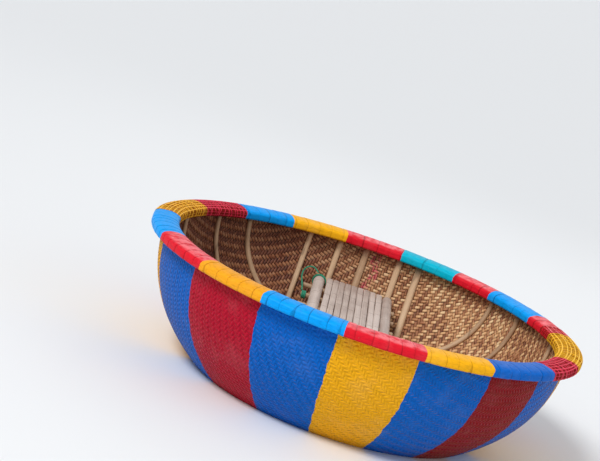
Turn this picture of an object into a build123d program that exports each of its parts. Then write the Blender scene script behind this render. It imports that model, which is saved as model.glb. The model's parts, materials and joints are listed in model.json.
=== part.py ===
from build123d import *
import os
from math import cos, radians, sin, sqrt, tan

# A round basket boat: a bowl woven of split bamboo, a lashed rim of bamboo hoops, two layers of
# crossing ribs, and a ladder bench whose rungs pass through its two side rails.
# Millimetres. The origin is the centre of the flat underside, on the ground, and +Z is up.
# The bench lies along Y, and the rope loop is at its +Y end.

# Outside profile of the bowl: a worn-flat disc, then three arcs that run into each other and end upright.
# The slopes, in degrees, are where one arc hands over to the next.
flat_radius = 300
mouth_radius = 990
hull_depth = 666.7
turn_slope = 29.75
bilge_slope = 51.05
middle_arc_radius = 835
hull_wall = 10

# Rim
hoop_height = 52
rim_crown = 12
crown_flat_width = 58
inner_rim_width = 55
outer_rim_width = 60
hoops_a_side = 2
hoop_chamfer = 3
hull_edge_below_top = 4
lashing_count = 36
lashing_width = 9
lashing_thickness = 2.5
lashing_clearance = 0.3

# Ribs
rib_thickness = 14
rib_top_gap = 1

# Bench
seat_height = 470
bench_skew = 2.4
slat_count = 9
slat_width = 31
slat_gap = 2.1
slat_thickness = 12
slat_edge_round = 3
slats_centre = -22
slat_end_gap = 8
left_rail_radius = 29
right_rail_radius = 27
left_rail_gap = 8
right_rail_gap = 4
left_first_node = 120
right_first_node = 205
culm_spacing = 262
culm_ridge = 1.8
culm_ridge_width = 14
rung_count = 7
rung_pitch = 220
rung_radius = 13
rung_shave = 1.5
rung_left_overhang = 46
rung_right_overhang = 14

# Rope
rope_radius = 4
knot_turns = 3
rail_knot_y = 850
knotted_rung = 6
rope_share_of_run = 0.45

# Ribs of the lower layer, which run along Y: name, middle in X, width, turn about Z in degrees
long_ribs = [
    ("long_rib_1", -357, 29, 0.5),
    ("long_rib_2", -209, 31, -0.3),
    ("long_rib_3", -58, 36, 0.3),
    ("long_rib_4", 109, 34, -0.5),
    ("long_rib_5", 234, 37, 0.6),
]

# Ribs of the upper layer, which run along X: name, middle in Y, width, turn about Z in degrees
cross_ribs = [
    ("cross_rib_1", -725, 27, 0.8),
    ("cross_rib_2", -540, 26, -1.2),
    ("cross_rib_3", -270, 30, 0.7),
    ("cross_rib_4", 300, 28, 0.5),
    ("cross_rib_5", 585, 26, 2.3),
    ("cross_rib_6", 737, 27, 1.8),
]

# Middle line of the rope loop, from the knot on the left rail to the knot on the second rung
rope_route = [
    (-258.5, 845, 484.3),
    (-276, 866, 497),
    (-299, 872, 502),
    (-321, 853, 496),
    (-334, 812, 485),
    (-334, 744, 477),
    (-326, 664, 471),
    (-314, 590, 465),
    (-304, 517, 461),
    (-300, 447, 463),
]


def profile_arcs():
    """Radii of the profile's three arcs. An arc of radius R from slope a to slope b runs out by
    R * (sin b - sin a) and up by R * (cos a - cos b). The middle radius is given, and the other two
    are solved so that the whole run reaches the mouth's radius and the hull's depth."""
    a, b = radians(turn_slope), radians(bilge_slope)
    out = mouth_radius - flat_radius - middle_arc_radius * (sin(b) - sin(a))
    up = hull_depth - middle_arc_radius * (cos(a) - cos(b))
    lower_out, lower_up = sin(a), 1 - cos(a)
    side_out, side_up = 1 - sin(b), cos(b)
    size = lower_out * side_up - side_out * lower_up
    lower = (out * side_up - side_out * up) / size
    side = (lower_out * up - out * lower_up) / size
    return lower, middle_arc_radius, side


def bowl_stations():
    """(radius, height, slope in degrees) of each point where two arcs of the outside profile meet."""
    stations = [(flat_radius, 0.0, 0.0)]
    for arc_radius, next_slope in zip(profile_arcs(), (turn_slope, bilge_slope, 90)):
        r, z, slope = stations[-1]
        a, b = radians(slope), radians(next_slope)
        stations.append((r + arc_radius * (sin(b) - sin(a)), z + arc_radius * (cos(a) - cos(b)), next_slope))
    return stations


stations = bowl_stations()
rim_base = hull_depth
rim_top = rim_base + hoop_height
rim_inner_radius = mouth_radius - hull_wall - inner_rim_width
rim_outer_radius = mouth_radius + outer_rim_width
slat_pitch = slat_width + slat_gap
rib_top = rim_base - lashing_thickness - rib_top_gap
rung_axis_height = seat_height - slat_thickness - rung_radius + rung_shave
slats_left = slats_centre - (slat_count * slat_pitch - slat_gap) / 2
slats_right = slats_centre + (slat_count * slat_pitch - slat_gap) / 2
left_rail_x = slats_left - left_rail_gap - left_rail_radius
right_rail_x = slats_right + right_rail_gap + right_rail_radius
knot_length = knot_turns * 2 * rope_radius
bench_turn = Rot(0, 0, bench_skew)


def wall_radius(height, inset):
    """Radius of the bowl's side arc at a height, for a surface inset inwards from the outside."""
    side_arc = profile_arcs()[-1]
    below_mouth = rim_base - height
    return mouth_radius - side_arc + sqrt((side_arc - inset) ** 2 - below_mouth**2)


def bowl_line(inset):
    """Half profile of the bowl, moved inwards by inset, from the axis to the foot of the rim."""
    points = [
        (r - inset * sin(radians(s)), z + inset * cos(radians(s)), radians(s)) for r, z, s in stations
    ]
    line = [Line((0, inset), points[0][:2])]
    for (r, z, slope), (next_r, next_z, _) in zip(points, points[1:]):
        line.append(TangentArc((r, z), (next_r, next_z), tangent=(cos(slope), sin(slope))))
    return line


def turned(outline):
    """A closed outline in the plane of radius and height, turned all the way round the boat's axis."""
    return revolve(Plane.XZ * make_face(outline), Axis.Z)


def bowl_layer(outside, inside):
    """The layer of the bowl between two insets, up to the foot of the rim."""
    foot_out = (mouth_radius - outside, rim_base)
    foot_in = (mouth_radius - inside, rim_base)
    closing = [Line(foot_out, foot_in), Line((0, outside), (0, inside))]
    return turned(bowl_line(outside) + bowl_line(inside) + closing)


def bowl_space(inset):
    """Everything inside the bowl at an inset, up to the foot of the rim."""
    foot = (mouth_radius - inset, rim_base)
    closing = [Line(foot, (0, rim_base)), Line((0, rim_base), (0, inset))]
    return turned(bowl_line(inset) + closing)


def hull():
    """The woven bowl, with a straight collar that stands up between the rim's hoops."""
    edge = rim_top - hull_edge_below_top
    inner_radius = mouth_radius - hull_wall
    collar = [
        Line((mouth_radius, rim_base), (mouth_radius, edge)),
        Line((mouth_radius, edge), (inner_radius, edge)),
        Line((inner_radius, edge), (inner_radius, rim_base)),
    ]
    axis = [Line((0, 0), (0, hull_wall))]
    return turned(bowl_line(0) + bowl_line(hull_wall) + collar + axis)


def rim_section(grow=0):
    """Cross-section of the whole rim, with a flat-topped crown, grown outwards by grow."""
    left, right, shoulder = rim_inner_radius, rim_outer_radius, rim_top - rim_crown
    flat_left = (left + right - crown_flat_width) / 2
    flat_right = flat_left + crown_flat_width
    outline = [(left, rim_base), (right, rim_base), (right, shoulder), (flat_right, rim_top)]
    outline += [(flat_left, rim_top), (left, shoulder)]
    face = make_face(Polyline(*outline, close=True))
    return offset(face, amount=grow, kind=Kind.INTERSECTION) if grow else face


def strip_of_rim(low_radius, high_radius, low=None, high=None):
    """The part of the rim's section between two radii and two heights, with its corners cut off."""
    low = rim_base if low is None else low
    high = rim_top if high is None else high
    centre = ((low_radius + high_radius) / 2, (low + high) / 2)
    strip = rim_section() & Pos(*centre) * Rectangle(high_radius - low_radius, high - low)
    sides = (low_radius, high_radius)
    corners = [v for v in strip.vertices() if min(abs(v.X - side) for side in sides) < hoop_chamfer / 10]
    return chamfer(corners, hoop_chamfer)


def rim_hoops():
    """Hoops on edge, either side of the collar. The one that faces out on each side is in two tiers."""
    tier_split = (rim_base + rim_top) / 2
    sides = {
        "inner": (mouth_radius - hull_wall, -inner_rim_width / hoops_a_side),
        "outer": (mouth_radius, outer_rim_width / hoops_a_side),
    }
    hoops = {}
    for side, (start, step) in sides.items():
        for number in range(1, hoops_a_side + 1):
            near, far = start + step * (number - 1), start + step * number
            low_radius, high_radius = min(near, far), max(near, far)
            if number < hoops_a_side:
                hoops[f"rim_{side}_hoop_{number}"] = strip_of_rim(low_radius, high_radius)
                continue
            lower = strip_of_rim(low_radius, high_radius, high=tier_split)
            upper = strip_of_rim(low_radius, high_radius, low=tier_split)
            hoops[f"rim_{side}_band_lower"] = lower
            hoops[f"rim_{side}_band_upper"] = upper
    return {name: revolve(Plane.XZ * section, Axis.Z) for name, section in hoops.items()}


def rim_lashings():
    """Lashings over the rim. Each goes round the hoops and ends at the hull on either side. A lashing is
    straight across its width, so its middle stands off by as much as the round rim bends over half of it."""
    stand_off = rim_inner_radius - sqrt(rim_inner_radius**2 - (lashing_width / 2) ** 2)
    loop = rim_section(lashing_thickness) - rim_section(stand_off)
    slot_width = hull_wall + 2 * lashing_clearance
    hull_slot = Pos(mouth_radius - hull_wall / 2, rim_base) * Rectangle(slot_width, hoop_height)
    band = extrude(Plane.XZ * (loop - hull_slot), amount=lashing_width / 2, both=True)
    turns = [Rot(0, 0, 360 * i / lashing_count) * band for i in range(lashing_count)]
    return Compound(children=turns)


def rib(layer, middle, width, turn, along_y):
    """A strip of a bowl layer, between two upright planes, up to just under the rim's lashings."""
    length = 2 * rim_outer_radius
    size = (width, length) if along_y else (length, width)
    place = Pos(middle, 0, rib_top) if along_y else Pos(0, middle, rib_top)
    slab = Box(*size, rim_top, align=(Align.CENTER, Align.CENTER, Align.MAX))
    return layer & Rot(0, 0, turn) * place * slab


def all_ribs():
    """Ribs on the hull along Y, and ribs along X on top of them."""
    lower = bowl_layer(hull_wall, hull_wall + rib_thickness)
    upper = bowl_layer(hull_wall + rib_thickness, hull_wall + 2 * rib_thickness)
    ribs = {}
    for name, middle, width, turn in long_ribs:
        ribs[name] = rib(lower, middle, width, turn, along_y=True)
    for name, middle, width, turn in cross_ribs:
        ribs[name] = rib(upper, middle, width, turn, along_y=False)
    return ribs


def culm(radius, length, first_node):
    """A round bamboo pole along Y, with a low ridge at each of its nodes."""
    half = length / 2
    outline = [(0, -half), (radius, -half)]
    y = -half + first_node
    while y < half - culm_ridge_width:
        outline += [(radius, y - culm_ridge_width / 2), (radius + culm_ridge, y)]
        outline += [(radius, y + culm_ridge_width / 2)]
        y += culm_spacing
    outline += [(radius, half), (0, half)]
    return revolve(make_face(Polyline(*outline, close=True)), Axis.Y)


def rung_place(number):
    """Middle of a rung in Y, before the bench is turned."""
    return (number - (rung_count + 1) / 2) * rung_pitch


def rung(number):
    """One rung of the bench, along X, shaved flat on top where the slats lie."""
    left = left_rail_x - left_rail_radius - rung_left_overhang
    right = right_rail_x + right_rail_radius + rung_right_overhang
    y = rung_place(number)
    pole = Pos((left + right) / 2, y, rung_axis_height) * Rot(0, 90, 0) * Cylinder(rung_radius, right - left)
    above = rung_radius
    shaving = Box(right - left, 2 * rung_radius, above)
    slat_foot = seat_height - slat_thickness
    return pole - Pos((left + right) / 2, y, slat_foot + above / 2) * shaving


def slat(number):
    """One slat of the seat, cut to end just short of the ribs."""
    x = slats_left + slat_width / 2 + (number - 1) * slat_pitch
    reach = wall_radius(seat_height - slat_thickness, hull_wall + rib_thickness)
    length = 2 * (sqrt(reach**2 - (abs(x) + slat_width / 2) ** 2) - slat_end_gap)
    bar = Box(slat_width, length, slat_thickness)
    long_top_edges = bar.edges().filter_by(Axis.Y).group_by(Axis.Z)[-1]
    bar = fillet(long_top_edges, slat_edge_round)
    return Pos(x, 0, seat_height - slat_thickness / 2) * bar


def bench(ribs):
    """Two rails whose ends bear on the hull and the ribs, the rungs through them, and the slats."""
    rungs = {f"bench_rung_{n}": bench_turn * rung(n) for n in range(1, rung_count + 1)}
    space = bowl_space(hull_wall)
    pieces = dict(rungs)
    rails = [
        ("bench_rail_left", left_rail_x, left_rail_radius, left_first_node),
        ("bench_rail_right", right_rail_x, right_rail_radius, right_first_node),
    ]
    for name, x, radius, first_node in rails:
        pole = bench_turn * Pos(x, 0, rung_axis_height) * culm(radius, 2 * mouth_radius, first_node)
        pole = pole & space
        for piece in list(ribs.values()) + list(rungs.values()):
            pole = pole - piece
        pieces[name] = pole
    for number in range(1, slat_count + 1):
        pieces[f"bench_slat_{number}"] = bench_turn * slat(number)
    return pieces


def rope_tube():
    """The rope loop as straight runs joined by arcs as large as the runs allow. Prints its radii."""
    points = [Vector(*p) for p in rope_route]
    radii = []
    for before, here, after in zip(points, points[1:], points[2:]):
        turn = radians((here - before).get_angle(after - here))
        shorter = min((here - before).length, (after - here).length)
        radii.append(rope_share_of_run * shorter / tan(turn / 2))
    path = FilletPolyline(*points, radius=radii)
    print("rope radii", [round(r) for r in radii], "length", round(path.length, 1))
    section = Plane(origin=path @ 0, z_dir=path % 0) * Circle(rope_radius)
    return sweep(section, path=path)


def knot(axis_point, axis_turn, core_radius):
    """The outer shape of the rope's turns side by side round a pole."""
    outside = Cylinder(core_radius + 2 * rope_radius, knot_length)
    return Pos(*axis_point) * axis_turn * (outside - Cylinder(core_radius, knot_length))


def knots():
    """The rope's turns round the left rail and round the outer end of a rung."""
    rung_y = rung_place(knotted_rung)
    rung_end = left_rail_x - left_rail_radius - rung_left_overhang
    on_rail = knot((left_rail_x, rail_knot_y, rung_axis_height), Rot(90, 0, 0), left_rail_radius)
    along_rung = rung_end + knot_length / 2 + rope_radius
    on_rung = knot((along_rung, rung_y, rung_axis_height), Rot(0, 90, 0), rung_radius)
    return {
        "rope_knot_rail": bench_turn * on_rail,
        "rope_knot_rung": bench_turn * on_rung,
    }


def all_parts():
    ribs = all_ribs()
    parts = {"woven_hull": hull()}
    parts.update(rim_hoops())
    parts["rim_lashings"] = rim_lashings()
    parts.update(ribs)
    parts.update(bench(ribs))
    parts["rope_loop"] = rope_tube()
    parts.update(knots())
    return parts


os.makedirs("parts", exist_ok=True)
for part_name, part_shape in all_parts().items():
    export_step(part_shape, f"parts/{part_name}.step")
print("rim base", round(rim_base, 1), "rim top", round(rim_top, 1))
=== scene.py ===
# %% [markdown]
# # A basket boat in Blender
# This lesson dresses a round boat woven of split bamboo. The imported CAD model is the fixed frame:
# it says where every piece is, and Blender gives the weave, the paint and the lashings. All lengths
# here are metres, +Z is up, and the origin is the centre of the boat's flat underside.

# %% Load the frame
import json

import bpy
import numpy as np
from mathutils import Matrix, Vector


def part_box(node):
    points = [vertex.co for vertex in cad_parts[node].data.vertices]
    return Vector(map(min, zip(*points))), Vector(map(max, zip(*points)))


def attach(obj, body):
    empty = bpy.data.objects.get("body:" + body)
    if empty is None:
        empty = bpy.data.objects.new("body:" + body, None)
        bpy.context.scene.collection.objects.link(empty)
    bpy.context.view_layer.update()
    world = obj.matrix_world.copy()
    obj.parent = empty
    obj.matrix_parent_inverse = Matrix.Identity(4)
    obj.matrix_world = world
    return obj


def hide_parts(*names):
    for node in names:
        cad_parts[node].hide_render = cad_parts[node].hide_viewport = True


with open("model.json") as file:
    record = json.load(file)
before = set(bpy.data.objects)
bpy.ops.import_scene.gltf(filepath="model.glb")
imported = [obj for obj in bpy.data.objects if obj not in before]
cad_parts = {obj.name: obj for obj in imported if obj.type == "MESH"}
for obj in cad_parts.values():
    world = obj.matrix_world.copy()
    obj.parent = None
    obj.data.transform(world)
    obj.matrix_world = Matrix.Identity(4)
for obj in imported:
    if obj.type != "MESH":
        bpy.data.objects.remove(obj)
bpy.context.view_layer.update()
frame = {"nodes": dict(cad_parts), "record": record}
nodes = frame["nodes"]

# %% [markdown]
# ## The sizes that the looks follow
# The bowl is a surface of revolution: a flat disc, then three arcs that run into each other with no
# kink. The weave has to lie exactly on it, so the same few numbers that shape the solid bowl are
# named again here, and the rim's height is worked out from them.

# %% Named sizes of the bowl and its rim
FLAT_RADIUS = 0.300
BOWL_JOINTS = ((0.620, 0.085), (0.855, 0.285))
MOUTH_RADIUS = 0.990
HULL_WALL = 0.010
HOOP_HEIGHT = 0.052
HULL_EDGE_BELOW_TOP = 0.004
INNER_RIM_WIDTH = 0.055
OUTER_RIM_WIDTH = 0.060
RIM_CROWN = 0.012
BENCH_SKEW = np.radians(2.4)
WATERLINE = frame["record"]["mounts"][1]["pos_m"][2]


def bowl_arcs():
    """List of (arc length at the start, radius, height, slope, arc radius) for each arc of the profile.
    An arc leaves with the slope of the one before, so its chord's angle is the mean of both slopes."""
    r, z, slope, run = FLAT_RADIUS, 0.0, 0.0, FLAT_RADIUS
    arcs = []
    for next_r, next_z in BOWL_JOINTS:
        next_slope = 2 * np.arctan2(next_z - z, next_r - r) - slope
        bend = np.hypot(next_r - r, next_z - z) / (2 * np.sin((next_slope - slope) / 2))
        arcs.append((run, r, z, slope, bend))
        run += bend * (next_slope - slope)
        r, z, slope = next_r, next_z, next_slope
    bend = (MOUTH_RADIUS - r) / (1 - np.sin(slope))
    arcs.append((run, r, z, slope, bend))
    run += bend * (np.pi / 2 - slope)
    return arcs, run, z + bend * np.cos(slope)


ARCS, RIM_RUN, RIM_BASE = bowl_arcs()
RIM_TOP = RIM_BASE + HOOP_HEIGHT
EDGE_RUN = RIM_RUN + HOOP_HEIGHT - HULL_EDGE_BELOW_TOP


# %% The bowl as a formula
def bowl_profile(run):
    """Radius, height and slope at a distance run along the outside from the centre of the underside.
    On the flat, radius = run. On an arc, slope grows evenly with run, radius by its sine and height by
    its cosine. Past the rim's foot the wall goes straight up."""
    run = np.asarray(run, float)
    radius, height, slope = run.copy(), np.zeros_like(run), np.zeros_like(run)
    for start, r, z, tilt, bend in ARCS:
        here = run >= start
        turn = tilt + (run - start) / bend
        slope = np.where(here, turn, slope)
        radius = np.where(here, r + bend * (np.sin(turn) - np.sin(tilt)), radius)
        height = np.where(here, z - bend * (np.cos(turn) - np.cos(tilt)), height)
    above = run > RIM_RUN
    radius = np.where(above, MOUTH_RADIUS, radius)
    height = np.where(above, RIM_BASE + run - RIM_RUN, height)
    return radius, height, np.where(above, np.pi / 2, slope)


def inner_line(run, inset):
    """Radius and height of the profile moved inwards by inset, square to the wall."""
    radius, height, slope = bowl_profile(run)
    return radius - inset * np.sin(slope), height + inset * np.cos(slope)


def bowl_point(east, north, inset):
    """Point of the bowl for a place (east, north) on a flat mat pressed into it: the distance from the
    mat's middle becomes the distance along the bowl, in the same direction. inset moves it inwards."""
    radius, height = inner_line(np.hypot(east, north), inset)
    angle = np.arctan2(north, east)
    return np.stack((radius * np.cos(angle), radius * np.sin(angle), height), axis=-1)


# %% Helpers that turn arrays into meshes
def make_piece(name, points, quads, smooth=True):
    """A mesh object from an array of points and an array of four-cornered faces, riding on the boat."""
    mesh = bpy.data.meshes.new(name)
    mesh.vertices.add(len(points))
    mesh.vertices.foreach_set("co", np.asarray(points, np.float32).ravel())
    mesh.loops.add(quads.size)
    mesh.loops.foreach_set("vertex_index", quads.astype(np.int32).ravel())
    mesh.polygons.add(len(quads))
    mesh.polygons.foreach_set("loop_start", np.arange(0, quads.size, 4, dtype=np.int32))
    mesh.update(calc_edges=True)
    mesh.validate()
    mesh.polygons.foreach_set("use_smooth", np.full(len(mesh.polygons), smooth))
    piece = bpy.data.objects.new(name, mesh)
    bpy.context.scene.collection.objects.link(piece)
    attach(piece, "root")
    return piece


def ring_quads(rings, around, closed_length):
    """Faces between rings of points, each ring having as many points as around, numbered ring by ring.
    They point outwards where a ring runs clockwise, seen from the last ring towards the first."""
    count = rings if closed_length else rings - 1
    ring = np.arange(count)[:, None]
    step = np.arange(around)[None, :]
    next_ring, next_step = (ring + 1) % rings, (step + 1) % around
    corners = (ring * around + step, next_ring * around + step)
    corners += (next_ring * around + next_step, ring * around + next_step)
    return np.stack(np.broadcast_arrays(*corners), axis=-1).reshape(-1, 4)


def tube_quads(rings, around):
    """Faces between rings of points, and a ladder of faces that closes the ring at either end."""
    left = np.arange(around // 2 - 1)
    start = np.stack((left, left + 1, around - 2 - left, around - 1 - left), axis=-1)
    end = start[:, ::-1] + (rings - 1) * around
    return np.concatenate((ring_quads(rings, around, False), start, end))


def capped(points):
    """Rings of points with one more ring at each end, drawn in to the middle, so that the end is flat."""
    ends = [points[i].mean(axis=0) + (points[i] - points[i].mean(axis=0)) * 0.02 for i in (0, -1)]
    return np.concatenate((ends[0][None], points, ends[1][None]))


def paint(piece, *materials):
    """Gives a piece its materials, in slot order."""
    piece.data.materials.clear()
    for material in materials:
        piece.data.materials.append(material)


# %% [markdown]
# ## Small building blocks for materials
# Every finish is made of nodes. A few short functions wire them, so that a material reads as a recipe:
# coordinates, then noise at the size of the real feature, then colours, then roughness and bump.


# %% A little wiring kit
class Recipe:
    """One node material: a Principled shader and the nodes that feed it."""

    def __init__(self, name, roughness, gloss=0.35):
        self.material = bpy.data.materials.new(name)
        self.material.use_nodes = True
        self.tree = self.material.node_tree
        self.shader = self.tree.nodes["Principled BSDF"]
        self.shader.inputs["Roughness"].default_value = roughness
        self.shader.inputs["Specular IOR Level"].default_value = gloss

    def node(self, kind, inputs=(), **settings):
        """A new node with its settings, and its inputs given as (socket, value or output) pairs."""
        made = self.tree.nodes.new(kind)
        for key, value in settings.items():
            setattr(made, key, value)
        for socket, value in inputs:
            if isinstance(value, bpy.types.NodeSocket):
                self.tree.links.new(value, made.inputs[socket])
            else:
                made.inputs[socket].default_value = value
        return made

    def place(self, scale=(1, 1, 1), turn=0.0):
        """Object coordinates, turned about Z and then scaled."""
        where = self.node("ShaderNodeTexCoord").outputs["Object"]
        turned = self.node("ShaderNodeMapping", [(0, where), ("Rotation", (0, 0, turn))]).outputs[0]
        return self.node("ShaderNodeMapping", [(0, turned), ("Scale", scale)]).outputs[0]

    def strip_place(self, scale):
        """The piece's own map: along the strip, across it."""
        where = self.node("ShaderNodeUVMap", uv_map="strip").outputs[0]
        return self.node("ShaderNodeMapping", [(0, where), ("Scale", scale)]).outputs[0]

    def noise(self, where, scale, detail=4.0, rough=0.55):
        """Noise between 0 and 1."""
        inputs = [("Vector", where), ("Scale", scale), ("Detail", detail), ("Roughness", rough)]
        return self.node("ShaderNodeTexNoise", inputs).outputs[0]

    def math(self, operation, a, b=0.0):
        """One sum on numbers."""
        return self.node("ShaderNodeMath", [(0, a), (1, b)], operation=operation).outputs[0]

    def fade(self, value, low, high):
        """0 below low, 1 above high, smooth between."""
        inputs = [("Value", value), ("From Min", low), ("From Max", high)]
        return self.node("ShaderNodeMapRange", inputs, interpolation_type="SMOOTHSTEP").outputs[0]

    def ramp(self, value, stops, kind="LINEAR"):
        """A colour for each value, from a list of (place, colour)."""
        made = self.node("ShaderNodeValToRGB", [(0, value)])
        made.color_ramp.interpolation = kind
        elements = made.color_ramp.elements
        while len(elements) < len(stops):
            elements.new(1.0)
        for element, (place, colour) in zip(elements, stops):
            element.position = place
            element.color = (*colour, 1)
        return made.outputs[0]

    def mix(self, share, a, b, kind="MIX"):
        """Two colours mixed."""
        b = (*b, 1) if isinstance(b, tuple) else b
        a = (*a, 1) if isinstance(a, tuple) else a
        inputs = [(0, share), (6, a), (7, b)]
        return self.node("ShaderNodeMix", inputs, data_type="RGBA", blend_type=kind).outputs[2]

    def finish(self, colour, roughness=None, height=None, depth=0.001, strength=0.6):
        """Plugs colour, roughness and a bump of the given depth in metres into the shader."""
        self.tree.links.new(colour, self.shader.inputs["Base Color"])
        if roughness is not None:
            self.tree.links.new(roughness, self.shader.inputs["Roughness"])
        if height is not None:
            inputs = [("Strength", strength), ("Distance", depth), ("Height", height)]
            bump = self.node("ShaderNodeBump", inputs)
            self.tree.links.new(bump.outputs[0], self.shader.inputs["Normal"])
        return self.material


# %% [markdown]
# ## Paint in sectors
# The boat is painted in blocks of bright enamel that change at certain angles round it. An angle is
# read from Object coordinates, and a ramp with hard steps gives each sector its colour. A little noise
# added to the angle makes the joins as hand-painted as the real ones. The rim and the hull have a list
# of their own: the angle where each sector starts, counted anticlockwise from +X, and its colour.

# %% The colours and where they start
SKY = (0.001, 0.32, 0.84)
BLUE = (0.001, 0.12, 0.52)
TURQUOISE = (0.001, 0.44, 0.60)
RED = (0.68, 0.010, 0.024)
CRIMSON = (0.44, 0.006, 0.026)
DARK_RED = (0.26, 0.006, 0.010)
YELLOW = (0.88, 0.42, 0.008)
AMBER = (0.84, 0.35, 0.012)

RIM_SECTORS = [
    (0.0, YELLOW), (15.1, RED), (29.6, SKY), (49.6, RED), (64.1, TURQUOISE), (82.0, RED), (101.0, YELLOW),
    (119.0, SKY), (136.8, CRIMSON), (156.2, AMBER), (182.3, SKY), (206.6, RED), (227.5, AMBER),
    (246.1, SKY), (268.4, RED), (288.2, YELLOW), (306.4, BLUE), (328.4, CRIMSON), (345.9, YELLOW),
]
HULL_SECTORS = [
    (0.0, YELLOW), (22.0, RED), (43.0, BLUE), (64.0, YELLOW), (86.0, RED), (108.0, BLUE), (130.0, RED),
    (152.0, YELLOW), (197.0, BLUE), (222.0, CRIMSON), (246.0, BLUE), (267.0, YELLOW), (287.5, BLUE),
    (308.0, DARK_RED), (328.0, BLUE), (345.0, YELLOW),
]


def sector_colour(recipe, sectors, wander):
    """Colour by the angle round Z, with the joins moved to and fro by noise of wander degrees."""
    where = recipe.place()
    split = recipe.node("ShaderNodeSeparateXYZ", [(0, where)])
    angle = recipe.math("ARCTAN2", split.outputs[1], split.outputs[0])
    shake = recipe.math("SUBTRACT", recipe.noise(where, 22.0), 0.5)
    turns = recipe.math("DIVIDE", angle, 2 * np.pi)
    turns = recipe.math("ADD", turns, recipe.math("MULTIPLY", shake, wander / 180))
    turns = recipe.math("FRACT", recipe.math("ADD", turns, 1.0))
    return recipe.ramp(turns, [(start / 360, colour) for start, colour in sectors], "CONSTANT")


# %% Enamel
# The reds have a second, paler colour: a painted highlight on the rim's crown, where the light glances off
# its top.
CROWN_HIGHLIGHT = {RED: (0.86, 0.17, 0.19), CRIMSON: (0.68, 0.06, 0.10)}


def painted_crown_highlight(recipe, colour, sectors, wander):
    """A painted highlight on the rim's crown: above the height where the crown begins, each sector takes
    its highlight colour, paler for the reds, in streaks."""
    pale = [(start, CROWN_HIGHLIGHT.get(plain, plain)) for start, plain in sectors]
    height = recipe.node("ShaderNodeSeparateXYZ", [(0, recipe.place())]).outputs[2]
    crown = recipe.fade(height, RIM_TOP - RIM_CROWN, RIM_TOP - RIM_CROWN / 3)
    streak = recipe.fade(recipe.noise(recipe.place((1, 1, 3)), 26.0, 5.0, 0.6), 0.30, 0.62)
    return recipe.mix(recipe.math("MULTIPLY", crown, streak), colour, sector_colour(recipe, pale, wander))


def enamel(name, sectors, wander, wear, darkening=0.0, crown=True):
    """Old boat enamel over bamboo: brushed on unevenly, a little chalky, scuffed in small flecks.
    wear is the share of the fine noise that stays covered. The share after wear draws it darker, for
    what lies under the net. crown says that it goes on the rim's crown, where the reds get a painted
    highlight."""
    recipe = Recipe(name, 0.38, 0.0 if darkening else 0.07)
    colour = sector_colour(recipe, sectors, wander)
    # Painted highlight: on the rim's crown the reds are drawn paler.
    if crown:
        colour = painted_crown_highlight(recipe, colour, sectors, wander)
    where = recipe.place()
    blotch = recipe.noise(where, 7.0, 5.0, 0.6)
    chalk = recipe.math("MULTIPLY", recipe.fade(blotch, 0.48, 0.76), 0.045)
    pale = recipe.mix(chalk, colour, (0.62, 0.62, 0.62), "SCREEN")
    streak = recipe.fade(recipe.noise(recipe.place((14, 14, 60)), 3.0, 6.0, 0.65), 0.40, 0.72)
    tone = recipe.mix(recipe.math("MULTIPLY", streak, 0.38), pale, (0.40, 0.42, 0.46), "MULTIPLY")
    seam = recipe.node("ShaderNodeAttribute", attribute_name="seam").outputs["Fac"]
    tone = recipe.mix(recipe.math("MULTIPLY", seam, 0.75), tone, (0.10, 0.03, 0.03), "MULTIPLY")
    # The enamel under the net is drawn darker by the given share.
    if darkening:
        tone = recipe.mix(darkening, tone, (0.15, 0.02, 0.012))
    fine = recipe.noise(where, 75.0, 8.0, 0.7)
    worn = recipe.math("MULTIPLY", recipe.fade(fine, wear, wear + 0.05), 0.7)
    bare = recipe.mix(worn, tone, (0.40, 0.27, 0.16))
    rough = recipe.math("ADD", recipe.math("MULTIPLY", fine, 0.25), recipe.math("MULTIPLY", worn, 0.3))
    rough = recipe.math("ADD", rough, 0.30)
    height = recipe.math("SUBTRACT", fine, recipe.math("MULTIPLY", worn, 0.6))
    return recipe.finish(bare, rough, height, 0.0010, 0.5)


# On the net the same colours are brighter: a painted highlight on its raised strips, which catch the light.
NET_HIGHLIGHT = {CRIMSON: (0.76, 0.035, 0.08), AMBER: (0.93, 0.48, 0.03), YELLOW: (0.98, 0.54, 0.02)}
NET_SECTORS = [(start, NET_HIGHLIGHT.get(colour, colour)) for start, colour in RIM_SECTORS]
rim_enamel = enamel("rim enamel", RIM_SECTORS, 0.5, 0.66)
net_enamel = enamel("net enamel", NET_SECTORS, 0.5, 0.74)
under_net = enamel("enamel under the net", RIM_SECTORS, 0.5, 0.90, 0.72, crown=False)
hull_enamel = enamel("hull enamel", HULL_SECTORS, 0.7, 0.68, crown=False)
print("enamel sectors", len(RIM_SECTORS), len(HULL_SECTORS))


# %% [markdown]
# ## Bare bamboo
# Split bamboo has a fine grain along its length, darker rings at its nodes, and turns grey-tan outdoors.
# The woven strips read their own map, so the grain follows each strip. The ribs and the bench read Object
# coordinates, stretched along the way that the piece runs.


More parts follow.
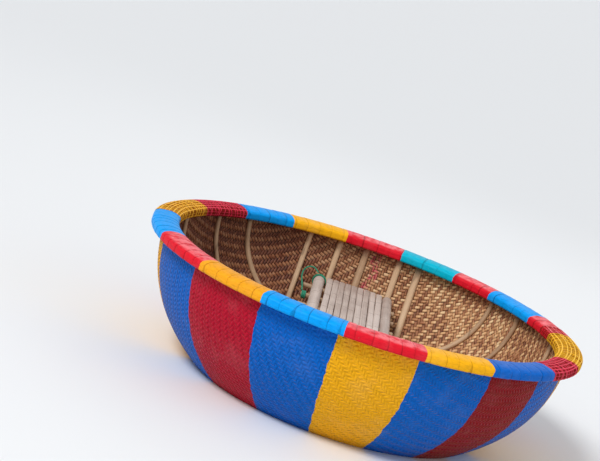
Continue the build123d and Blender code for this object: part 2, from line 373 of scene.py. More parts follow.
# %% The woven strips' finish
def woven_cane(name):
    """Strips of the mat, with a fine grain along each. The mesh carries two numbers at every point: tone,
    the strip's own random tone, and a number that is 1 where it runs beneath another strip, where it is
    painted darker as painted shade in the gaps. The weave is painted darker towards -X, painted shade on
    the side away from the light, and a little red paint was spilt on the far wall."""
    recipe = Recipe(name, 0.55)
    tone = recipe.node("ShaderNodeAttribute", attribute_name="tone").outputs["Fac"]
    grain = recipe.noise(recipe.strip_place((6, 420, 1)), 1.0, 6.0, 0.7)
    place = recipe.place()
    patch = recipe.noise(place, 3.4, 5.0, 0.65)
    value = recipe.math("ADD", recipe.math("MULTIPLY", tone, 0.30), recipe.math("MULTIPLY", grain, 0.38))
    value = recipe.math("ADD", value, recipe.math("MULTIPLY", patch, 0.44))
    stops = [(0.27, (0.05, 0.015, 0.009)), (0.41, (0.19, 0.062, 0.028)), (0.53, (0.42, 0.18, 0.080)),
             (0.64, (0.70, 0.40, 0.19)), (0.80, (0.90, 0.66, 0.38))]
    colour = recipe.ramp(value, stops)
    # Painted shade: each strip is drawn darker where it runs beneath its neighbours, in the gaps of the
    # weave.
    dive_shade = recipe.fade(recipe.node("ShaderNodeAttribute", attribute_name="dive_shade").outputs["Fac"], 0.15, 0.60)
    colour = recipe.mix(recipe.math("MULTIPLY", dive_shade, 0.85), colour, (0.20, 0.09, 0.06), "MULTIPLY")
    split = recipe.node("ShaderNodeSeparateXYZ", [(0, place)])
    # Painted shade: the weave is drawn darker and redder from +X towards -X, the side away from the light.
    east = recipe.math("ADD", split.outputs[0], recipe.math("MULTIPLY", recipe.noise(place, 5.0), 0.3))
    shade = recipe.fade(east, 0.70, -0.38)
    colour = recipe.mix(recipe.math("MULTIPLY", shade, 0.84), colour, (0.34, 0.18, 0.16), "MULTIPLY")
    shaken = recipe.math("MULTIPLY", recipe.math("SUBTRACT", recipe.noise(place, 9.0), 0.5), 0.12)
    away = recipe.math("ABSOLUTE", recipe.math("ADD", split.outputs[0], shaken))
    stain = recipe.fade(away, 0.035, 0.010)
    far = recipe.fade(split.outputs[1], 0.45, 0.70)
    fleck = recipe.fade(recipe.noise(place, 60.0, 3.0), 0.40, 0.60)
    spill = recipe.math("MULTIPLY", recipe.math("MULTIPLY", stain, far), fleck)
    colour = recipe.mix(recipe.math("MULTIPLY", spill, 0.75), colour, (0.50, 0.03, 0.09))
    rough = recipe.math("ADD", recipe.math("MULTIPLY", grain, 0.3), 0.42)
    return recipe.finish(colour, rough, grain, 0.0006, 0.6)


# %% The finish of ribs, poles and laths
TONES_PER_METRE = 30.2
NODES_PER_METRE = 3.8


def cane(name, stretch, light, dark, node_axis, turn=0.0):
    """Fine grain, grey weathering, and a dark ring at each bamboo node along node_axis. Across that axis
    the tone steps about once for each lath, so that neighbours differ."""
    recipe = Recipe(name, 0.5)
    place = recipe.place(turn=turn)
    grain = recipe.noise(recipe.place(stretch, turn), 1.0, 7.0, 0.7)
    patch = recipe.noise(place, 7.0, 4.0, 0.6)
    split = recipe.node("ShaderNodeSeparateXYZ", [(0, place)])
    across = recipe.math("MULTIPLY", split.outputs[1 - node_axis], TONES_PER_METRE)
    across = recipe.math("FLOOR", across)
    own = recipe.node("ShaderNodeTexWhiteNoise", [("W", across)], noise_dimensions="1D").outputs[0]
    value = recipe.math("ADD", recipe.math("MULTIPLY", grain, 0.45), recipe.math("MULTIPLY", patch, 0.35))
    value = recipe.math("ADD", value, recipe.math("MULTIPLY", own, 0.22))
    middle = tuple(0.6 * a + 0.4 * b for a, b in zip(light, dark))
    colour = recipe.ramp(value, [(0.28, dark), (0.5, middle), (0.72, light)])
    along = recipe.math("ADD", recipe.math("MULTIPLY", split.outputs[node_axis], NODES_PER_METRE), own)
    near_node = recipe.math("ABSOLUTE", recipe.math("SUBTRACT", recipe.math("FRACT", along), 0.5))
    ring = recipe.fade(near_node, 0.022, 0.006)
    colour = recipe.mix(recipe.math("MULTIPLY", ring, 0.5), colour, (0.16, 0.10, 0.06))
    height = recipe.math("ADD", grain, recipe.math("MULTIPLY", ring, 1.5))
    rough = recipe.math("ADD", recipe.math("MULTIPLY", patch, 0.3), 0.38)
    return recipe.finish(colour, rough, height, 0.0008, 0.7)


mat_cane = woven_cane("woven cane")
# Each tone is a light and a dark colour.
RIB_TONE = ((0.68, 0.47, 0.29), (0.25, 0.13, 0.065))
BENCH_TONE = ((0.65, 0.55, 0.49), (0.32, 0.24, 0.20))
# The rungs are drawn darker than the ribs: painted shade, for where they lie under the bench.
RUNG_PAINTED_SHADE_TONE = ((0.42, 0.28, 0.17), (0.16, 0.085, 0.045))
long_rib_cane = cane("long rib cane", (170, 5, 5), *RIB_TONE, 1)
cross_rib_cane = cane("cross rib cane", (5, 170, 5), *RIB_TONE, 0)
bench_cane = cane("bench cane", (190, 4, 190), *BENCH_TONE, 1, -BENCH_SKEW)
rung_cane = cane("rung cane", (5, 150, 150), *RUNG_PAINTED_SHADE_TONE, 0, -BENCH_SKEW)

# %% [markdown]
# ## The woven mat
# The real hull is one mat of split bamboo, plaited flat and pressed into a pit to take its shape. It
# could be a smooth bowl with a bump, but the weave shows at every edge and in every glancing light, so
# the strips are modelled. Each strip is a thin closed ribbon that follows a straight line of the flat
# mat, over two strips and under the next two. Its neighbour does the same one place further on, so the
# long bright floats climb in slanting rows. A strip has one ring of points at each crossing, and
# smooth shading rounds it between them. Both faces show, so the outer ones carry the enamel.

# %% Sizes of the weave
MAT_PITCH = 0.0165
STRIP_WIDTH = 0.0146
STRIP_THICKNESS = 0.0030
STRIP_LIFT = 0.0030
FEWEST_CROSSINGS = 3
# What is uneven about the strips: shares of their width and lift, and metres to the side and along.
WIDTH_SPREAD = (-0.10, 0.04)
LIFT_SPREAD = (0.8, 1.0)
STRIP_SWAY = 0.0006
SWAY_PER_CROSSING = 0.21
STRIP_ASTRAY = 0.0003
CROSSING_ASTRAY = 0.0008
# A strip's shade, from dark to light: a share that the whole strip has and one that each crossing has.
SHADE_START = -0.12
STRIP_SHADE = 0.35
CROSSING_SHADE = 0.95
# The strips along north are drawn darker and those along east lighter: painted shade on the north strips
# and painted light on the east floats.
NORTH_PAINTED_SHADE = 0.60
EAST_CONTRAST = 0.75
EAST_PAINTED_LIGHT = 0.38
MAT_INSET = HULL_WALL / 2
OUTER_FACE = 2


# %% One direction of strips
def mat_strips(name, along_north, first, seed):
    """Every other strip of one direction. Strip number i lies at i pitches from the middle, and is cut
    off where its outer side meets the round edge of the mat, so half its length is half a chord. At
    a crossing that is n pitches north and e east of the middle, the strips along north lie on the
    inside of the hull where n - e leaves 0 or 1 when divided by four, those along east elsewhere."""
    rng = np.random.default_rng(seed)
    last = int(EDGE_RUN / MAT_PITCH)
    points, quads, sides, tones, dive_shades, maps, count = [], [], [], [], [], [], 0
    for number in range(first - last // 2 * 2, last + 1, 2):
        offset = number * MAT_PITCH
        half = np.sqrt(max(EDGE_RUN**2 - (abs(offset) + STRIP_WIDTH / 2) ** 2, 0.0))
        steps = int(half / MAT_PITCH)
        if steps < FEWEST_CROSSINGS:
            continue
        place = np.arange(-steps, steps + 1)
        north, east = (place, number) if along_north else (number, place)
        upper = ((north - east) % 4 < 2) == along_north
        lift = STRIP_LIFT * (2 * upper - 1) * rng.uniform(*LIFT_SPREAD, place.size)
        sway = STRIP_SWAY * np.sin(place * SWAY_PER_CROSSING + rng.uniform(0, 6.3))
        sway = sway + rng.normal(0, STRIP_ASTRAY)
        width = STRIP_WIDTH * (1 + rng.uniform(*WIDTH_SPREAD)) / 2
        across = np.array([-1.0, 1.0, 1.0, -1.0]) * width
        depth = np.array([0.5, 0.5, -0.5, -0.5]) * STRIP_THICKNESS
        line = place * MAT_PITCH + rng.normal(0, CROSSING_ASTRAY, place.size)
        line = np.clip(line, -half, half)[:, None] + np.zeros(4)
        beside = offset + sway[:, None] + across[None, :]
        inset = MAT_INSET + lift[:, None] + depth[None, :]
        flat = (beside, line) if along_north else (line, beside)
        points.append(bowl_point(*flat, inset).reshape(-1, 3))
        faces = tube_quads(len(place), 4)
        quads.append((faces[:, ::-1] if along_north else faces) + count)
        sides.append(np.arange(len(faces)) % 4)
        # The two faces that close the strip's ends stay bare.
        sides[-1][-2:] = 0
        count += 4 * len(place)
        tone = STRIP_SHADE * rng.uniform(0, 1) + CROSSING_SHADE * rng.uniform(0, 1, place.size)
        tone = tone + SHADE_START
        # Painted shade and painted light: north strips are drawn darker, east strips lighter.
        tone = tone * NORTH_PAINTED_SHADE if along_north else EAST_PAINTED_LIGHT + tone * EAST_CONTRAST
        tones.append(np.repeat(tone, 4))
        # 1 where the strip runs beneath another; the woven cane's finish draws it darker there, as painted
        # shade.
        dive_shades.append(np.repeat(1.0 - upper, 4))
        shift = rng.uniform(0, 50)
        spread = np.array([0.0, width * 2, width * 2, 0.0])
        maps.append(np.stack((line + shift, spread + np.zeros_like(line)), axis=-1).reshape(-1, 2))
    quads = np.concatenate(quads)
    piece = make_piece(name, np.concatenate(points), quads)
    mesh = piece.data
    mesh.attributes.new("tone", "FLOAT", "POINT").data.foreach_set("value", np.concatenate(tones))
    mesh.attributes.new("dive_shade", "FLOAT", "POINT").data.foreach_set("value", np.concatenate(dive_shades))
    layer = mesh.uv_layers.new(name="strip")
    layer.data.foreach_set("uv", np.concatenate(maps)[quads.ravel()].ravel())
    paint(piece, mat_cane, hull_enamel)
    enamelled = (np.concatenate(sides) == OUTER_FACE).astype(np.int32)
    mesh.polygons.foreach_set("material_index", enamelled)
    print(name, len(quads) * 2, "triangles")
    return piece


mats = [
    mat_strips("mat_north_even", True, 0, 11),
    mat_strips("mat_north_odd", True, 1, 13),
    mat_strips("mat_east_even", False, 0, 23),
    mat_strips("mat_east_odd", False, 1, 29),
]


# %% [markdown]
# ## The caulking between the strips
# Between the two layers of strips the real hull is smeared with a mix of dung and resin that keeps the
# water out, and outside it fills the weave almost level before the enamel goes on. It is a thin closed
# bowl inside the wall. It hides the light that would leak through the corners of the weave, and on the
# outside only the strips that lie over their neighbours stand a little proud of it.


# %% A thin bowl inside the wall
def caulk_bowl(name, rows, around, outer_inset, inner_inset, inner, outer):
    """A closed shell: the profile goes out along one inset and comes back along another, all turned
    round Z. Its faces on the outside get the outer material."""
    run = np.linspace(0.002, EDGE_RUN - 0.002, rows)
    out = (run, np.full(rows, outer_inset))
    back = (run[::-1], np.full(rows, inner_inset))
    distance, inset = (np.concatenate(pair) for pair in zip(out, back))
    angle = np.linspace(0, 2 * np.pi, around, endpoint=False)[:, None]
    points = bowl_point(distance * np.cos(angle), distance * np.sin(angle), inset[None, :])
    quads = ring_quads(around, 2 * rows, True)
    piece = make_piece(name, points.reshape(-1, 3), quads)
    paint(piece, inner, outer)
    column = np.tile(np.arange(2 * rows), around)
    outside = (column < rows - 1).astype(np.int32)
    piece.data.polygons.foreach_set("material_index", outside)
    return piece


def resin(name):
    """Dark brown resin and dung, dull and lumpy."""
    recipe = Recipe(name, 0.8)
    lumps = recipe.noise(recipe.place(), 160.0, 6.0, 0.7)
    colour = recipe.ramp(lumps, [(0.3, (0.018, 0.010, 0.006)), (0.7, (0.09, 0.05, 0.028))])
    return recipe.finish(colour, None, lumps, 0.001)


COATED_INSET = 0.0019
CAULK_INNER_INSET = 0.0054
caulk_finishes = (resin("caulking resin"), hull_enamel)
caulk = caulk_bowl("hull_caulk", 56, 128, COATED_INSET, CAULK_INNER_INSET, *caulk_finishes)
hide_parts("woven_hull")

# %% [markdown]
# ## The rim and its wrapping
# The rim is a bundle of bamboo hoops on either side of the hull's edge. On the real boat the bundle is
# wrapped all the way in broad split cane, drawn tight, and painted over, so that only faint seams show
# across it. A plain ring with a bump would lose those seams at the edge of the rim, so the wrapping is
# one surface: a point goes round the rim's cross-section while the angle goes round the boat, and the
# surface dips a little wherever one turn of cane ends and the next begins.

# %% Sizes of the wrapping
RIM_HALF_WIDTH = (INNER_RIM_WIDTH + OUTER_RIM_WIDTH + HULL_WALL) / 2
RIM_MIDDLE = MOUTH_RADIUS + OUTER_RIM_WIDTH - RIM_HALF_WIDTH
SIDE_HALF_HEIGHT = (HOOP_HEIGHT - RIM_CROWN) / 2
CORNER_POWER = 5.5
WRAP_STEP = 3.7
WRAP_GROW = 0.0008
SEAM_DEPTH = 0.0016
NET_ENDS = ((-31, 22), (137, 183))
LAP_HEIGHT = 0.0007


def rim_outline(turn, grow):
    """Point of the rim's cross-section: a box with round corners, |x|^p + |y|^p = 1, stretched to the
    rim's half width and height, with a parabola added on top for the crown."""
    c, s = np.cos(turn), np.sin(turn)
    size = (np.abs(c) ** CORNER_POWER + np.abs(s) ** CORNER_POWER) ** (-1 / CORNER_POWER)
    x = c * size
    y = s * size
    crown = RIM_CROWN * (1 - x**2) * np.clip(y * 2, 0, 1)
    radius = RIM_MIDDLE + (RIM_HALF_WIDTH + grow) * x
    return radius, RIM_BASE + SIDE_HALF_HEIGHT + (SIDE_HALF_HEIGHT + grow) * y + crown


# %% The wrapping
def rim_wrapping(name, seed):
    """Columns of points round the cross-section. Within one turn of cane, whose share of the way across
    is t, the surface stands WRAP_GROW out, rises evenly to the lap over its neighbour, and dips by
    SEAM_DEPTH at both of its edges. Each seam leans a little, so it isn't a perfect ring."""
    rng = np.random.default_rng(seed)
    turns = int(round(360 / WRAP_STEP))
    share = np.array([0.0, 0.022, 0.06, 0.25, 0.5, 0.75, 0.94, 0.978])
    dip = np.array([1.0, 0.35, 0.0, 0.0, 0.0, 0.0, 0.0, 0.35])
    widths = rng.uniform(0.75, 1.3, turns)
    edges = np.concatenate(([0], np.cumsum(widths))) / widths.sum() * 2 * np.pi
    angle = (edges[:-1, None] + share[None, :] * np.diff(edges)[:, None]).ravel()[:, None]
    grow = WRAP_GROW - SEAM_DEPTH * dip + LAP_HEIGHT * share
    grow = (grow[None, :] + rng.uniform(-0.0004, 0.0005, turns)[:, None]).ravel()[:, None]
    turn = np.linspace(0, 2 * np.pi, 40, endpoint=False)[None, :]
    lean = np.repeat(rng.normal(0, 0.0045, turns), share.size)[:, None]
    bent = angle + lean * np.cos(turn + 0.6)
    radius, height = rim_outline(turn + 0 * angle, grow + 0 * turn)
    points = np.stack((radius * np.cos(bent), radius * np.sin(bent), height), axis=-1)
    quads = ring_quads(angle.size, turn.size, True)
    piece = make_piece(name, points.reshape(-1, 3), quads)
    paint(piece, rim_enamel, under_net)
    degrees = np.degrees(angle[:, 0])
    netted = [(degrees - low) % 360 < high - low for low, high in NET_ENDS]
    netted = np.repeat(np.any(netted, axis=0), turn.size)
    piece.data.polygons.foreach_set("material_index", netted.astype(np.int32))
    depth = np.repeat(np.tile(dip, turns) * np.repeat(rng.uniform(0.3, 1.0, turns), dip.size), turn.size)
    piece.data.attributes.new("seam", "FLOAT", "POINT").data.foreach_set("value", depth)
    print(name, turns, "turns of cane,", len(quads) * 2, "triangles")
    return piece


wrapping = rim_wrapping("rim_wrapping", 31)
rim_nodes = [name for name in nodes if name.startswith("rim_")]
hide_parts(*rim_nodes)

# %% [markdown]
# ## Netted ends
# At its two ends the rim is bound again with thin strips that cross like a net, and the rim is drawn
# darker between them. Some strips go round the rim: each is a closed ribbon whose angle swings a little
# to and fro. The others run along the rim and wind through between them. Both kinds are low arches of
# four points across, thin enough that the dark gaps show even from a low angle.

# %% Sizes of the net
NET_WIDTH = 0.0066
NET_THICKNESS = 0.0010
NET_BASE = 0.0013
NET_SWING = np.radians(1.3)
NET_STEP = 1.35
LENGTHWISE_TURNS = np.radians((-24, 16, 42, 57, 72, 88, 104, 120, 137, 164, 203))
LENGTHWISE_WIDTH = 0.085
ARCH = np.linspace(0, np.pi, 4)


# %% Strips round the rim and along it
def arched(angle, turn, rise):
    """Points of the rim's outline at each angle and turn, lifted by rise."""
    radius, height = rim_outline(turn + 0 * angle, rise + 0 * angle)
    return np.stack((radius * np.cos(angle), radius * np.sin(angle), height), axis=-1)


def strips_round(name, starts, seed):
    """Closed ribbons, one for each start angle. angle = start + swing * cos(turn) + place across."""
    rng = np.random.default_rng(seed)
    turn = np.linspace(0, 2 * np.pi, 40, endpoint=False)[None, :, None]
    width = NET_WIDTH * rng.uniform(0.75, 1.2, len(starts))[:, None, None] / RIM_MIDDLE
    swing = rng.uniform(-1, 1, len(starts))[:, None, None] * NET_SWING
    angle = np.asarray(starts)[:, None, None] + swing * np.cos(turn + rng.uniform(0, 6))
    angle = angle - np.cos(ARCH)[None, None, :] * width / 2
    points = arched(angle, turn, NET_BASE + NET_THICKNESS * np.sin(ARCH)[None, None, :] ** 0.5)
    one = ring_quads(turn.size, ARCH.size, True)[:, ::-1]
    shift = np.arange(len(starts))[:, None, None] * turn.size * ARCH.size
    return make_piece(name, points.reshape(-1, 3), (one[None] + shift).reshape(-1, 4))


def strips_along(name, ends, seed):
    """Ribbons along the rim at the given turns. Each winds a little and has a drawn-in ring at its ends."""
    rng = np.random.default_rng(seed)
    points, quads, count = [], [], 0
    for low, high in np.radians(ends):
        angle = np.linspace(low, high, 70)[:, None]
        for place in LENGTHWISE_TURNS:
            wind = 0.028 * np.sin(angle * 15 + rng.uniform(0, 6)) + rng.normal(0, 0.03)
            turn = place + wind - np.cos(ARCH)[None, :] * LENGTHWISE_WIDTH / 2
            rise = NET_BASE + NET_THICKNESS * np.sin(ARCH)[None, :] ** 0.5
            strip = capped(arched(angle + 0 * turn, turn, rise + 0 * turn))
            points.append(strip.reshape(-1, 3))
            quads.append(tube_quads(len(strip), ARCH.size) + count)
            count += strip.size // 3
    return make_piece(name, np.concatenate(points), np.concatenate(quads))


net = np.concatenate([np.arange(low, high, NET_STEP) for low, high in NET_ENDS])
rng = np.random.default_rng(7)
net = np.radians(net + rng.normal(0, 0.16, net.size))
net_round = strips_round("rim_net_round", net, 37)
net_along = strips_along("rim_net_along", NET_ENDS, 41)
for piece in (net_round, net_along):
    paint(piece, net_enamel)
    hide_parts("rim_lashings")
print("net of", net.size, "strips round and", 2 * LENGTHWISE_TURNS.size, "along")

# %% [markdown]
# ## Ribs
# The ribs are halved bamboo poles, flat side to the mat, bent along the bowl and tucked in under the
# rim. Five run along the boat and six lie across them, and where two meet the upper one humps over. In
# the frame they are cut square from a layer of the bowl. Here each one keeps its width all the way: its
# middle line lies in an upright plane, and the half-round section is set up on the wall's own direction.

# %% The ribs' places: offset from the middle, width, turn in degrees
LONG_RIBS = [(-0.357, 0.029, 0.5), (-0.209, 0.031, -0.3), (-0.058, 0.036, 0.3), (0.109, 0.034, -0.5),
             (0.234, 0.037, 0.6)]
CROSS_RIBS = [(-0.725, 0.027, 0.8), (-0.540, 0.026, -1.2), (-0.270, 0.030, 0.7), (0.300, 0.028, 0.5),
              (0.585, 0.026, 2.3), (0.737, 0.027, 1.8)]
RIB_THICKNESS = 0.014
RIB_MIDDLE_INSET = HULL_WALL + RIB_THICKNESS / 2
RIB_END_BELOW_RIM = 0.006
RIB_SECTION_POINTS = 12
HUMP_LENGTH = 0.045
CULM_SPACING = 0.262


def rib_line(offset, turn, along_y, inset, top_run):
    """Middle line of a rib. The distance run up the wall goes from its least, where the plane passes
    nearest to the axis, to the rim, as the square of a number from -1 to 1; the way along the plane is
    then sqrt(radius^2 - offset^2), so the line is smooth through its lowest point."""
    runs = np.linspace(0, top_run, 1500)
    least = float(np.interp(abs(offset), inner_line(runs, RIB_MIDDLE_INSET)[0], runs))
    side = np.linspace(-1, 1, 121)
    run = least + (top_run - least) * side**2
    radius, height = inner_line(run, inset)
    along = np.sign(side) * np.sqrt(np.maximum(radius**2 - offset**2, 0))
    across = np.full_like(along, offset)
    x, y = (across, along) if along_y else (along, across)
    c, s = np.cos(np.radians(turn)), np.sin(np.radians(turn))
    return np.stack((x * c - y * s, x * s + y * c, height), axis=-1), run


def rib_strip(name, place, along_y, seed):
    """A closed half-round strip: across = half width * cos(a), out of the wall = thickness * sin(a)^0.7
    on top and level below, with a little swelling at each bamboo node."""
    offset, width, turn = place
    rng = np.random.default_rng(seed)
    top_run = RIM_RUN - RIB_END_BELOW_RIM
    line, run = rib_line(offset, turn, along_y, HULL_WALL, top_run)
    if not along_y:
        hump = np.zeros(len(line))
        for other, other_width, _ in LONG_RIBS:
            away = np.abs(line[:, 0] - other) - other_width / 2
            hump = np.maximum(hump, 0.5 + 0.5 * np.cos(np.pi * np.clip(away / HUMP_LENGTH, 0, 1)))
        line = rib_line(offset, turn, along_y, HULL_WALL + RIB_THICKNESS * hump, top_run)[0]
    ahead = np.gradient(line, axis=0)
    ahead /= np.linalg.norm(ahead, axis=1)[:, None]
    slope = bowl_profile(run)[2]
    lean = -np.sin(slope) / np.hypot(line[:, 0], line[:, 1])
    inward = np.stack((line[:, 0] * lean, line[:, 1] * lean, np.cos(slope)), axis=-1)
    side = np.cross(inward, ahead)
    side /= np.linalg.norm(side, axis=1)[:, None]
    inward = np.cross(ahead, side)
    length = np.concatenate(([0], np.cumsum(np.linalg.norm(np.diff(line, axis=0), axis=1))))
    joint = np.exp(-(((length / CULM_SPACING + rng.uniform(0, 1)) % 1 - 0.5) / 0.03) ** 2)
    angle = np.linspace(0, 2 * np.pi, RIB_SECTION_POINTS, endpoint=False)[None, :]
    half = width / 2 * (1 + 0.05 * joint + 0.03 * np.sin(length * 9 + rng.uniform(0, 6)))[:, None]
    across = half * np.cos(angle)
    rise = RIB_THICKNESS * np.clip(np.sin(angle), 0, 1) ** 0.7 * (0.93 + 0.07 * joint)[:, None]
    points = line[:, None] + side[:, None] * across[..., None] + inward[:, None] * rise[..., None]
    points = capped(points)
    return make_piece(name, points.reshape(-1, 3), tube_quads(len(points), RIB_SECTION_POINTS)[:, ::-1])


RIB_LAYERS = [
    # start of the names, places, whether they run along Y, finish, first seed
    ("long_rib", LONG_RIBS, True, long_rib_cane, 50),
    ("cross_rib", CROSS_RIBS, False, cross_rib_cane, 70),
]
for start, places, along_y, finish, seed in RIB_LAYERS:
    for number, place in enumerate(places, 1):
        rib = rib_strip(f"{start}_pole_{number}", place, along_y, seed + number)
        paint(rib, finish)
        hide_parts(f"{start}_{number}")
    print(len(places), "of", start)

# %% [markdown]
# ## The bench
# Two whole bamboo poles carry the bench, and nine split laths lie between them. Real culms swell a
# little at each node and their sawn ends are worn round. One function makes both: a tube along Y whose
# cross-section is |x|^p + |z|^p = 1, round for a pole and boxy for a lath, with a wavy edge.

# %% Sizes of the bench
SEAT_HEIGHT = 0.470
SLAT_THICKNESS = 0.012
SLAT_WIDTH = 0.031
SLAT_GAP = 0.0021
SLAT_PITCH = SLAT_WIDTH + SLAT_GAP
SLATS_CENTRE = -0.022
SLAT_COUNT = 9
RUNG_RADIUS = 0.013
SLAT_SUNK = 0.0015
LEFT_RAIL_RADIUS, LEFT_RAIL_GAP = 0.029, 0.008
RIGHT_RAIL_RADIUS, RIGHT_RAIL_GAP = 0.027, 0.004
RUNG_HEIGHT = SEAT_HEIGHT - SLAT_THICKNESS - RUNG_RADIUS + SLAT_SUNK
SLATS_LEFT = SLATS_CENTRE - (SLAT_COUNT * SLAT_PITCH - SLAT_GAP) / 2
SLATS_RIGHT = SLATS_CENTRE * 2 - SLATS_LEFT
RAILS = [
    # node, middle in X, radius, first bamboo node
    ("bench_rail_left", SLATS_LEFT - LEFT_RAIL_GAP - LEFT_RAIL_RADIUS, LEFT_RAIL_RADIUS, 0.120),
    ("bench_rail_right", SLATS_RIGHT + RIGHT_RAIL_GAP + RIGHT_RAIL_RADIUS, RIGHT_RAIL_RADIUS, 0.205),
]


def turned(points):
    """Points turned about Z by the bench's skew."""
    c, s = np.cos(BENCH_SKEW), np.sin(BENCH_SKEW)
    x, y = points[..., 0] * c - points[..., 1] * s, points[..., 0] * s + points[..., 1] * c
    return np.stack((x, y, points[..., 2]), axis=-1)


def cane_bar(name, middle, ends, half_width, half_height, power, joints, seed, around=20):
    """A closed bar along Y between two ends. Near each end the section shrinks as the quarter of a
    circle, so the end is worn round; at each bamboo node it swells by about a twentieth."""
    rng = np.random.default_rng(seed)
    low, high = ends
    worn = min(half_width, half_height) * 0.8
    lead = worn * (1 - np.cos(np.linspace(0, np.pi / 2, 6)))
    body = np.linspace(low + worn, high - worn, 90)
    y = np.concatenate((low + lead[:-1], body, (high - lead)[-2::-1]))
    near = np.minimum(y - low, high - y)
    shrink = np.sqrt(np.clip(1 - (1 - np.clip(near / worn, 0, 1)) ** 2, 0.0004, 1))
    inset = (1 - shrink) * worn
    joint = np.exp(-(((y - low - joints) / CULM_SPACING + 0.5) % 1 - 0.5) ** 2 / 0.0009)
    wave = 0.028 * np.sin(y * 11 + rng.uniform(0, 6)) + 0.02 * np.sin(y * 29 + rng.uniform(0, 6))
    angle = np.linspace(0, 2 * np.pi, around, endpoint=False)[None, :]
    c, s = np.cos(angle), np.sin(angle)
    size = (np.abs(c) ** power + np.abs(s) ** power) ** (-1 / power)
    wide = (half_width - inset) * (1 + 0.045 * joint + wave * (power > 2))
    tall = (half_height - inset) * (1 + 0.045 * joint)
    x = middle[0] + 0.0008 * np.sin(y * 4.1 + rng.uniform(0, 6))[:, None] + wide[:, None] * size * c
    z = middle[1] + tall[:, None] * size * s
    points = turned(np.stack((x, np.broadcast_to(y[:, None], x.shape), z), axis=-1))
    return make_piece(name, points.reshape(-1, 3), tube_quads(len(y), around))


# %% Make the bench
def ends_of(node):
    """Ends of a node along the bench, from its box, turned back by the skew."""
    low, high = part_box(node)
    return low[1] / np.cos(BENCH_SKEW), high[1] / np.cos(BENCH_SKEW)


def pole_reach(x, radius):
    """How far a pole goes along Y before the lower part of its round end meets the wall."""
    radii, heights = inner_line(np.linspace(0, RIM_RUN, 2000), HULL_WALL)
    wall = np.interp(RUNG_HEIGHT - 0.9 * radius, heights, radii)
    return np.sqrt(wall**2 - (abs(x) + 0.5 * radius) ** 2)


for node, x, radius, first in RAILS:
    reach = pole_reach(x, radius)
    ends = (-reach, reach)
    rail = cane_bar(node + "_culm", (x, RUNG_HEIGHT), ends, radius, radius, 2.0, first, 90, 28)
    paint(rail, bench_cane)
    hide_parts(node)
rng = np.random.default_rng(17)
for number in range(1, SLAT_COUNT + 1):
    node = f"bench_slat_{number}"
    x = SLATS_LEFT + SLAT_WIDTH / 2 + (number - 1) * SLAT_PITCH
    low, high = ends_of(node)
    ends = (low + rng.uniform(0.002, 0.014), high - rng.uniform(0.002, 0.012))
    middle = (x, SEAT_HEIGHT - SLAT_THICKNESS / 2)
    half = (SLAT_WIDTH / 2, SLAT_THICKNESS / 2 / 1.03)
    slat = cane_bar(f"{node}_lath", middle, ends, *half, 3.4, rng.uniform(0, 0.26), 100 + number)
    paint(slat, bench_cane)
    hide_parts(node)
print("bench of", SLAT_COUNT, "laths")

# %% [markdown]
# ## The green rope
# A loop of green rope hangs from the bench: it leaves a knot on the left rail, lies against the wall,
# and ends on a rung. Rope is three strands laid together, so the mesh is a tube with three round lobes
# that turn as it goes along. Its middle follows a NURBS curve led by the same route as the CAD tube.

# %% The rope's route and its lay
ROPE_DIAMETER = 0.008
ROPE_ROUTE = [
    (-0.2585, 0.845, 0.4843), (-0.276, 0.866, 0.497), (-0.299, 0.872, 0.502), (-0.321, 0.853, 0.496),
    (-0.334, 0.812, 0.485), (-0.334, 0.744, 0.477), (-0.326, 0.664, 0.471), (-0.314, 0.590, 0.465),
    (-0.304, 0.517, 0.461), (-0.300, 0.447, 0.463),
]
LAY_LENGTH = 0.030
ROPE_STEP = 0.003


def route_line(route):
    """Points along the NURBS curve that the route leads, read from a curve with no thickness."""
    curve = bpy.data.curves.new("route", "CURVE")
    curve.dimensions = "3D"
    spline = curve.splines.new("NURBS")
    spline.points.add(len(route) - 1)
    for point, place in zip(spline.points, route):
        point.co = (*place, 1)
    spline.order_u = 3
    spline.use_endpoint_u = True
    spline.resolution_u = 24
    carrier = bpy.data.objects.new("route", curve)
    mesh = bpy.data.meshes.new_from_object(carrier)
    line = np.empty(len(mesh.vertices) * 3)
    mesh.vertices.foreach_get("co", line)
    bpy.data.objects.remove(carrier)
    bpy.data.curves.remove(curve)
    bpy.data.meshes.remove(mesh)
    return line.reshape(-1, 3)


def even_line(line, step):
    """The same line with points an even step apart, by linear steps along its length."""
    run = np.concatenate(([0], np.cumsum(np.linalg.norm(np.diff(line, axis=0), axis=1))))
    even = np.linspace(0, run[-1], int(run[-1] / step) + 1)
    return np.stack([np.interp(even, run, line[:, axis]) for axis in range(3)], axis=-1), run[-1]


def laid_rope(name, line, diameter, around=18):
    """A tube of radius R * (0.8 + 0.2 |cos(1.5 (angle - twist))|), whose twist is one turn per lay.
    Two side directions come from the tangent and a fixed one, and both ends shrink to a point."""
    ahead = np.gradient(line, axis=0)
    ahead /= np.linalg.norm(ahead, axis=1)[:, None]
    side = np.cross(ahead, (0.31, 0.12, 0.94))
    side /= np.linalg.norm(side, axis=1)[:, None]
    up = np.cross(side, ahead)
    run = np.concatenate(([0], np.cumsum(np.linalg.norm(np.diff(line, axis=0), axis=1))))
    angle = np.linspace(0, 2 * np.pi, around, endpoint=False)[None, :]
    twist = (2 * np.pi * run / LAY_LENGTH)[:, None]
    radius = diameter / 2 * (0.80 + 0.20 * np.abs(np.cos(1.5 * (angle - twist))))
    radius[0] *= 0.02
    radius[-1] *= 0.02
    ring = side[:, None] * np.cos(angle)[..., None] + up[:, None] * np.sin(angle)[..., None]
    points = line[:, None] + radius[..., None] * ring
    return make_piece(name, points.reshape(-1, 3), tube_quads(len(line), around))


